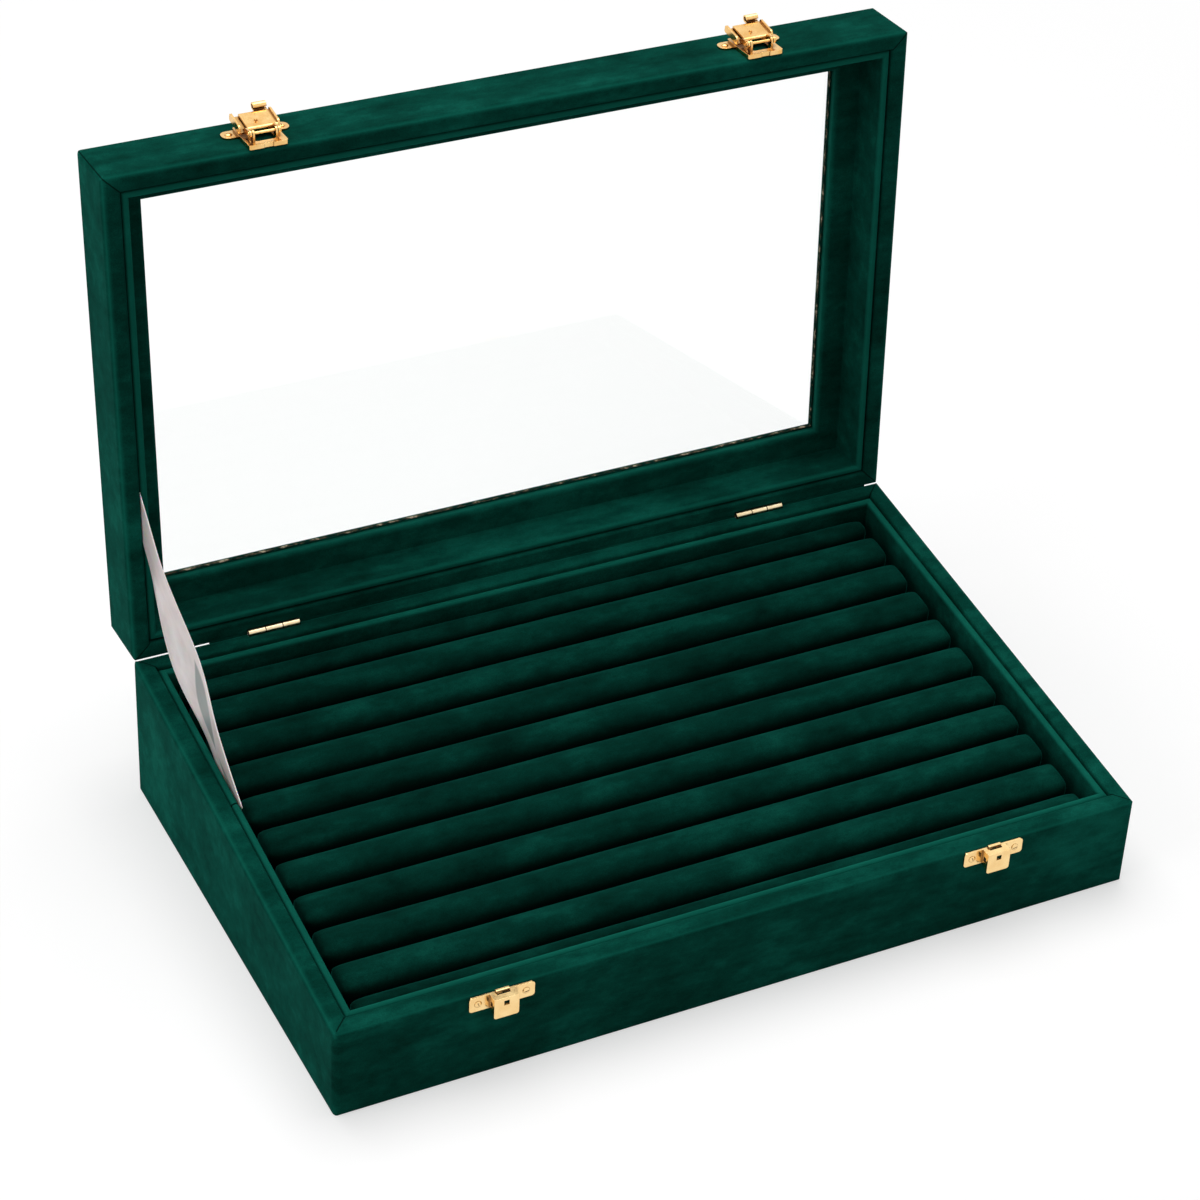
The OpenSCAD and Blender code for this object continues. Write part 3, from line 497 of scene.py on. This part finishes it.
for side in ("front", "back", "left", "right"):
    dress(f"base_wall_{side}", base_velvet)
    dress(f"lid_rail_{side}", lid_velvet)
    dress(f"lid_liner_{side}", lid_lining_velvet)
    dress(f"lid_ledge_{side}", ledge_velvet)
for part in ("front", "back", "right", "left_rear", "left_front"):
    dress(f"base_liner_{part}", lining_velvet)
for part in ("bottom_board", "tray_rest_front", "tray_rest_back"):
    dress(part, board)
dress("tray_board", roll_velvet)
dress("bottom_cover", cover_paper("base_cover"))
dress("glass_pane", clear_glass("glass"))
for side in ("left", "right"):
    dress(f"hinge_base_leaf_{side}", hinge_gold)
    dress(f"hinge_lid_leaf_{side}", hinge_gold)
    dress(f"latch_plate_{side}", latch_gold)
    dress(f"latch_lever_{side}", latch_gold)
    dress(f"keeper_{side}", gold)
dress("latch_pins", latch_gold)
dress("latch_screws", latch_gold)
dress("keeper_screws", gold)
dress("hinge_pins", gold)

# ---- ring rolls -----------------------------------------------------------------------------

FOAM_SHRINK = 0.5 * MM
LEFT_END_R, RIGHT_END_R = 2.2 * MM, 5.2 * MM
COVER_VOXEL, GLUED_H, SWELL_CAP = 3.2 * MM, 2.2 * MM, 0.45 * MM
SWELL_STEPS = 16
LUMP_H, BACK_LEAN = 0.28 * MM, 0.42


def bevel_edges(bm, edges, offset, segments, clamp=False):
    bmesh.ops.bevel(
        bm,
        geom=edges,
        offset=offset,
        offset_type="OFFSET",
        segments=segments,
        profile=0.5,
        affect="EDGES",
        material=-1,
        clamp_overlap=clamp,
    )


def box_blank(length, width, height):
    bm = bmesh.new()
    bmesh.ops.create_cube(bm, size=1)
    bmesh.ops.scale(bm, vec=(length, width, height), verts=bm.verts)
    return bm


def edges_along_x(edges, length):
    return [e for e in edges if abs(e.verts[0].co.x - e.verts[1].co.x) > length / 2]


def roll_blank(width, length):
    """A foam roll before it is covered: a bar with a domed top, rounder at its right end."""
    width, length, height = width - 2 * FOAM_SHRINK, length - 2 * FOAM_SHRINK, ROLL_H - FOAM_SHRINK
    bm = box_blank(length, width, height)
    bmesh.ops.translate(bm, vec=(0, 0, height / 2), verts=bm.verts)
    top = [e for e in bm.edges if all(v.co.z > height * 0.9 for v in e.verts)]
    crown = min(CROWN_H, width / 2 - 0.2 * MM)
    bevel_edges(bm, edges_along_x(top, length), crown, 10)
    for side, rounding in ((-1, LEFT_END_R), (1, RIGHT_END_R)):
        end_edges = [
            e
            for e in bm.edges
            if all(
                abs(side * v.co.x - length / 2) < 1e-6 and v.co.z > height * 0.3 for v in e.verts
            )
            and e.calc_length() < width
        ]
        bevel_edges(bm, end_edges, rounding, 6, clamp=True)
    return bm


def evaluated_mesh(piece):
    graph = bpy.context.evaluated_depsgraph_get()
    return bpy.data.meshes.new_from_object(piece.evaluated_get(graph))


def swell(blank):
    """Blows the blank up as cloth glued along its foot, and caps how far a point may move."""
    before = [v.co.copy() for v in blank.data.vertices]
    glued = blank.vertex_groups.new(name="glued")
    glued.add([v.index for v in blank.data.vertices if v.co.z < GLUED_H], 1.0, "REPLACE")
    cloth = blank.modifiers.new("cover", "CLOTH")
    cloth.settings.quality = 5
    cloth.settings.mass = 0.1
    cloth.settings.tension_stiffness = 12
    cloth.settings.compression_stiffness = 12
    cloth.settings.bending_stiffness = 0.4
    cloth.settings.use_pressure = True
    cloth.settings.uniform_pressure_force = 4
    cloth.settings.vertex_group_mass = "glued"
    cloth.settings.effector_weights.gravity = 0
    for step in range(1, SWELL_STEPS + 1):
        bpy.context.scene.frame_set(step)
    swollen = evaluated_mesh(blank)
    blank.modifiers.clear()
    for old, vertex in zip(before, swollen.vertices):
        move = vertex.co - old
        if move.length > SWELL_CAP:
            vertex.co = old + move.normalized() * SWELL_CAP
    blank.data = swollen
    blank.vertex_groups.clear()
    bpy.context.scene.frame_set(1)


def roll_master(name, width, length):
    """The covered roll that the rolls of one width are copied from."""
    blank = new_piece(name, roll_blank(width, length), roll_velvet)
    remesh = blank.modifiers.new("even", "REMESH")
    remesh.mode = "VOXEL"
    remesh.voxel_size = COVER_VOXEL
    bpy.context.view_layer.update()
    mesh = evaluated_mesh(blank)
    blank.modifiers.clear()
    blank.data = mesh
    swell(blank)
    bm = bmesh.new()
    bm.from_mesh(blank.data)
    bmesh.ops.smooth_vert(
        bm, verts=bm.verts, factor=0.5, use_axis_x=True, use_axis_y=True, use_axis_z=True
    )
    bpy.data.objects.remove(blank)
    return bm


roll_length = BOX_W - 2 * (INNER_IN + ROLL_END_GAP)
rolls_start = INNER_IN + END_ROLL_W
end_w = END_ROLL_W - ROLL_GAP
full_master = roll_master("full_roll_cover", ROLL_PITCH - ROLL_GAP, roll_length)
end_master = roll_master("end_roll_cover", end_w, roll_length)


def place_roll(index):
    """One covered roll; every roll is stuffed a little differently."""
    first, last = index == 0, index == FULL_ROLLS + 1
    source = end_master if first or last else full_master
    if first:
        s = INNER_IN + ROLL_GAP / 2 + end_w / 2
    elif last:
        s = SLOPE_L - INNER_IN - ROLL_GAP / 2 - end_w / 2
    else:
        s = rolls_start + ROLL_PITCH * (index - 0.5)
    bm = source.copy()
    for vertex in bm.verts:
        spot = Vector((vertex.co.x * 22 + index * 7.3, vertex.co.y * 60, index * 3.1))
        rise = max(0.0, vertex.co.z / ROLL_H)
        vertex.co.z += LUMP_H * noise.noise(spot) * rise
        if last:
            behind = max(0.0, vertex.co.y - end_w * 0.1)
            vertex.co.y -= behind * (1 - rise) * BACK_LEAN
    place = ON_SLOPE @ Matrix.Translation((0, s, -TRAY_DEPTH))
    bmesh.ops.transform(bm, matrix=place, verts=bm.verts)
    piece = new_piece(f"roll_cover_{index + 1}", bm, roll_velvet)
    rounding = piece.modifiers.new("soft", "SUBSURF")
    rounding.levels = rounding.render_levels = 1
    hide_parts(f"ring_roll_{index + 1}")
    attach(piece, "base")


for roll_index in range(FULL_ROLLS + 2):
    place_roll(roll_index)
full_master.free()
end_master.free()

# ---- ribbon stay ----------------------------------------------------------------------------

RIBBON_T, RIBBON_CURL, RIBBON_RIPPLE = 0.3 * MM, 0.9 * MM, 0.35 * MM
RIBBON_ROWS, RIBBON_COLUMNS = 72, 12

ribbon_top = ON_LID @ Vector((-BOX_W / 2 + WALL + 0.3 * MM, HINGE_S - RIBBON_LID, RIBBON_TUCK))
ribbon_foot = ON_SLOPE @ Vector(
    (-BOX_W / 2 + INNER_IN + 0.375 * MM, SLOPE_L - RIBBON_JOINT, -RIBBON_LOW)
)
ribbon_span = ribbon_top - ribbon_foot
ribbon_down = Vector((0, ribbon_span.y, ribbon_span.z)).normalized().cross(Vector((1, 0, 0)))


def ribbon_free(t):
    """How far a point is along the part of the ribbon between the lining and the lid seam."""
    return min(1.0, max(0.0, (t - RIBBON_LIE) / (RIBBON_FREE - RIBBON_LIE)))


def ribbon_middle(t):
    """Centre line of the ribbon: its lower part sags and its upper end lies in the seam."""
    free = ribbon_free(t)
    ease = free * free * (3 - 2 * free)
    middle = ribbon_foot + ribbon_span * t
    middle.x = ribbon_foot.x + ribbon_span.x * ease
    return middle + ribbon_down * RIBBON_SAG * 6.75 * t * (1 - t) ** 2


def ribbon_frame(t):
    """Width and outward directions of the strip."""
    step = 0.005
    run = ribbon_middle(min(1, t + step)) - ribbon_middle(max(0, t - step))
    run.x = 0
    run.normalize()
    turn = RIBBON_TWIST * math.sin(math.pi * ribbon_free(t)) ** 2
    across = Vector((1, 0, 0)).cross(run) * math.cos(turn) + Vector((math.sin(turn), 0, 0))
    return across, across.cross(run)


def build_ribbon():
    bm = bmesh.new()
    bmesh.ops.create_grid(bm, x_segments=RIBBON_ROWS, y_segments=RIBBON_COLUMNS, size=0.5)
    layer = bm.loops.layers.uv.new("strip")
    places = {v: (v.co.x + 0.5, v.co.y) for v in bm.verts}
    samples = [ribbon_middle(i / 100) for i in range(101)]
    length = sum((b - a).length for a, b in zip(samples, samples[1:]))
    for vertex, (t, side) in places.items():
        across, out = ribbon_frame(t)
        free = ribbon_free(t)
        loose = math.sin(math.pi * free) ** 2
        curl = RIBBON_CURL * (4 * side * side) * loose
        ripple = RIBBON_RIPPLE * math.sin(9 * free + 3 * side) * loose
        vertex.co = ribbon_middle(t) + across * side * RIBBON_W + out * (curl + ripple)
    for face in bm.faces:
        for loop in face.loops:
            t, side = places[loop.vert]
            loop[layer].uv = (t * length, side * RIBBON_W)
    bmesh.ops.recalc_face_normals(bm, faces=bm.faces)
    piece = new_piece("ribbon_strap", bm, satin("satin_ribbon", length))
    body = piece.modifiers.new("weave", "SOLIDIFY")
    body.thickness = RIBBON_T
    body.offset = 0
    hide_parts("ribbon_stay")
    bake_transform(piece)


build_ribbon()

# ---- pile of the velvet in the hinge seam ---------------------------------------------------

NAP_D, NAP_H, NAP_EDGE, NAP_STEP, NAP_RAGGED = 0.6 * MM, 0.62 * MM, 0.12 * MM, 1.5 * MM, 0.08 * MM
NAP_IN_SEAM = (
    ON_SLOPE
    @ Matrix.Translation((0, SLOPE_L - 0.71 * MM, -0.69 * MM))
    @ Matrix.Rotation(math.radians(45.7), 4, "X")
)
BESIDE_HINGE = 11.3 * MM


def build_seam_nap(number, x0, x1):
    """A ragged strip of pile that fills the seam beside the hinge barrels."""
    length = x1 - x0
    bm = box_blank(length, NAP_D, NAP_H)
    bevel_edges(bm, edges_along_x(bm.edges, length), NAP_EDGE, 2)
    bmesh.ops.subdivide_edges(
        bm, edges=edges_along_x(bm.edges, length), cuts=int(length / NAP_STEP)
    )
    bmesh.ops.translate(bm, vec=((x0 + x1) / 2, 0, 0), verts=bm.verts)
    for vertex in bm.verts:
        spot = Vector((vertex.co.x * 500, number, vertex.co.z * 900))
        vertex.co.z += NAP_RAGGED * noise.noise(spot)
    bmesh.ops.transform(bm, matrix=NAP_IN_SEAM, verts=bm.verts)
    bmesh.ops.recalc_face_normals(bm, faces=bm.faces)
    piece = new_piece(f"seam_nap_{number}", bm, nap_velvet)
    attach(piece, "base")


build_seam_nap(1, -142 * MM, -HINGE_X - BESIDE_HINGE)
build_seam_nap(2, -HINGE_X + BESIDE_HINGE, HINGE_X - BESIDE_HINGE)
build_seam_nap(3, HINGE_X + BESIDE_HINGE, 168 * MM)

# ---- floor, light and camera ----------------------------------------------------------------

FLOOR_HALF, FLOOR_PLAIN, FLOOR_SHADED, FLOOR_GLOW = 6, 0.8, 0.52, 0.54
FADE_START, FADE_END = 0.45, 1.1
WORLD_LIGHT, WORLD_SEEN = 0.26, 1.0

# place, aim, size in metres and power in watts
LAMPS = {
    "top_softbox": ((0.1, 0.42, 1.7), (0, 0, 0.05), (1.6, 1.4), 23.5),
    "left_softbox": ((-1.6, -0.2, 0.9), (0, 0, 0.1), (1.0, 1.0), 7),
    "front_softbox": ((0.2, -1.8, 1.2), (0, 0, 0.1), (1.4, 0.9), 0.5),
}

# the photograph's view: focal length and frame in pixels, turns in radians, place in metres
FOCAL_PX, FRAME_PX, SENSOR_MM = 3363.7504, 1200, 36
YAW, PITCH, TILT = 0.48434, 0.614671, 0.052162
CAMERA_PLACE = (-0.519777, -0.953583, 0.883871)


def seen_directly(tree):
    """1 for what the eye, a gloss or the glass sees, 0 for light that bounces about."""
    path = tree.nodes.new("ShaderNodeLightPath").outputs
    seen = path["Is Camera Ray"]
    for other in ("Is Glossy Ray", "Is Transmission Ray"):
        node = tree.nodes.new("ShaderNodeMath")
        node.operation = "MAXIMUM"
        tree.links.new(seen, node.inputs[0])
        tree.links.new(path[other], node.inputs[1])
        seen = node.outputs[0]
    return seen


def build_floor():
    """A pale floor that keeps the object's shadow and fades to plain white around it."""
    bm = bmesh.new()
    bmesh.ops.create_grid(bm, x_segments=2, y_segments=2, size=FLOOR_HALF)
    material = bpy.data.materials.new("floor_white")
    material.use_nodes = True
    tree = material.node_tree
    tree.nodes.clear()
    add, link = tree.nodes.new, tree.links.new
    plain = add("ShaderNodeBsdfDiffuse")
    plain.inputs["Color"].default_value = (FLOOR_PLAIN, FLOOR_PLAIN, FLOOR_PLAIN, 1)
    shaded = add("ShaderNodeBsdfDiffuse")
    shaded.inputs["Color"].default_value = (FLOOR_SHADED, FLOOR_SHADED, FLOOR_SHADED, 1)
    glow = add("ShaderNodeEmission")
    glow.inputs["Strength"].default_value = FLOOR_GLOW
    near = add("ShaderNodeAddShader")
    link(shaded.outputs[0], near.inputs[0])
    link(glow.outputs[0], near.inputs[1])
    reach = add("ShaderNodeVectorMath")
    reach.operation = "LENGTH"
    link(add("ShaderNodeTexCoord").outputs["Object"], reach.inputs[0])
    far = add("ShaderNodeMapRange")
    far.inputs["From Min"].default_value = FADE_START
    far.inputs["From Max"].default_value = FADE_END
    link(reach.outputs["Value"], far.inputs["Value"])
    fade = add("ShaderNodeMixShader")
    link(far.outputs["Result"], fade.inputs[0])
    link(near.outputs[0], fade.inputs[1])
    link(add("ShaderNodeEmission").outputs[0], fade.inputs[2])
    mixed = add("ShaderNodeMixShader")
    link(seen_directly(tree), mixed.inputs[0])
    link(plain.outputs[0], mixed.inputs[1])
    link(fade.outputs[0], mixed.inputs[2])
    link(mixed.outputs[0], add("ShaderNodeOutputMaterial").inputs["Surface"])
    new_piece("floor", bm, material)


def area_lamp(name, place, aim, size, watts):
    lamp = bpy.data.lights.new(name, "AREA")
    lamp.shape = "RECTANGLE"
    lamp.size, lamp.size_y = size
    lamp.energy = watts
    holder = bpy.data.objects.new(name, lamp)
    bpy.context.scene.collection.objects.link(holder)
    holder.location = place
    holder.rotation_euler = (Vector(aim) - Vector(place)).to_track_quat("-Z", "Y").to_euler()


def light_world():
    """Even white light all round, seen as plain white."""
    world = bpy.data.worlds.new("studio")
    bpy.context.scene.world = world
    world.use_nodes = True
    tree = world.node_tree
    sky = tree.nodes["Background"]
    sky.inputs["Color"].default_value = (1, 1, 1, 1)
    strength = tree.nodes.new("ShaderNodeMapRange")
    strength.inputs["To Min"].default_value = WORLD_LIGHT
    strength.inputs["To Max"].default_value = WORLD_SEEN
    tree.links.new(seen_directly(tree), strength.inputs["Value"])
    tree.links.new(strength.outputs["Result"], sky.inputs["Strength"])


def place_camera():
    data = bpy.data.cameras.new("camera")
    data.sensor_width = SENSOR_MM
    data.lens = SENSOR_MM * FOCAL_PX / FRAME_PX
    data.clip_end = 20
    camera = bpy.data.objects.new("camera", data)
    bpy.context.scene.collection.objects.link(camera)
    ahead = Vector(
        (math.sin(YAW) * math.cos(PITCH), math.cos(YAW) * math.cos(PITCH), -math.sin(PITCH))
    )
    level = Vector((math.cos(YAW), -math.sin(YAW), 0))
    upward = level.cross(ahead)
    right = level * math.cos(TILT) + upward * math.sin(TILT)
    top = -level * math.sin(TILT) + upward * math.cos(TILT)
    turned = Matrix((right, top, -ahead)).transposed().to_4x4()
    camera.matrix_world = Matrix.Translation(CAMERA_PLACE) @ turned
    bpy.context.scene.camera = camera


build_floor()
for lamp_name, settings in LAMPS.items():
    area_lamp(lamp_name, *settings)
light_world()
place_camera()
bpy.context.scene.view_settings.view_transform = "Standard"
